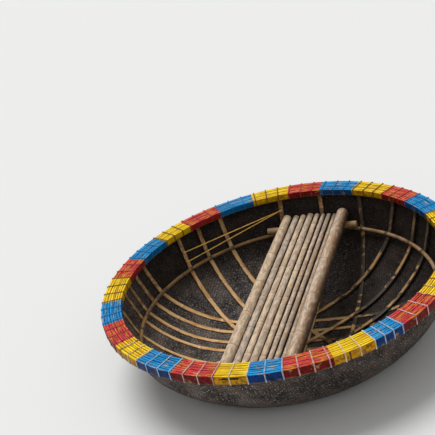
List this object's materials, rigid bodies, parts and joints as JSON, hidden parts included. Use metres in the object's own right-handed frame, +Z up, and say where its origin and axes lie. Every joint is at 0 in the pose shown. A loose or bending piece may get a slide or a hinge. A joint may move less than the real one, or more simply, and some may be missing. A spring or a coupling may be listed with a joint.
{
  "type": "round woven basket coracle",
  "caption": "Round woven basket boat with a banded and lashed lath rim, crossed split ribs, an inner hoop and a raft of bamboo poles.",
  "frame": {"origin": "centre of the bowl on the waterline", "axes": "+Z up, +Y along the platform poles, +X across them"},
  "size_m": [2.2043, 2.2044, 0.5923],
  "materials": {
    "beam_bamboo": "round bamboo, light brown",
    "cane_tie": "dark rattan turns",
    "tarred_basket": "woven bamboo under dark tar, dull with damp sheen",
    "hoop_bamboo": "round cane, brown",
    "weathered_bamboo": "beige grey weathered bamboo",
    "rib_bamboo": "split bamboo, orange tan",
    "painted_rim": "bamboo laths painted in yellow, blue and red bands, worn",
    "nylon_lashing": "pale nylon turns, dirty",
    "rope": "golden twisted rope"
  },
  "bodies": {
    "root": {"beam_far": "beam_bamboo", "beam_near": "beam_bamboo", "hoop_ties": "cane_tie", "hull_basket": "tarred_basket", "mid_hoop": "hoop_bamboo", "platform_pole_1": "weathered_bamboo", "platform_pole_2": "weathered_bamboo", "platform_pole_3": "weathered_bamboo", "platform_pole_4": "weathered_bamboo", "platform_pole_5": "weathered_bamboo", "platform_pole_6": "weathered_bamboo", "platform_pole_7": "weathered_bamboo", "platform_pole_8": "weathered_bamboo", "platform_pole_9": "weathered_bamboo", "rib_across_1": "rib_bamboo", "rib_across_2": "rib_bamboo", "rib_across_3": "rib_bamboo", "rib_across_4": "rib_bamboo", "rib_across_5": "rib_bamboo", "rib_along_1": "rib_bamboo", "rib_along_2": "rib_bamboo", "rib_along_3": "rib_bamboo", "rib_slant_left_1": "rib_bamboo", "rib_slant_left_2": "rib_bamboo", "rib_slant_left_3": "rib_bamboo", "rib_slant_right_1": "rib_bamboo", "rib_slant_right_2": "rib_bamboo", "rib_slant_right_3": "rib_bamboo", "rim_inner_lath_1": "painted_rim", "rim_inner_lath_2": "painted_rim", "rim_inner_lath_3": "painted_rim", "rim_lashings": "nylon_lashing", "rim_outer_lath_1": "painted_rim", "rim_outer_lath_2": "painted_rim", "rim_outer_lath_3": "painted_rim", "rim_outer_lath_4": "painted_rim", "rope": "rope"}
  },
  "joints": []
}
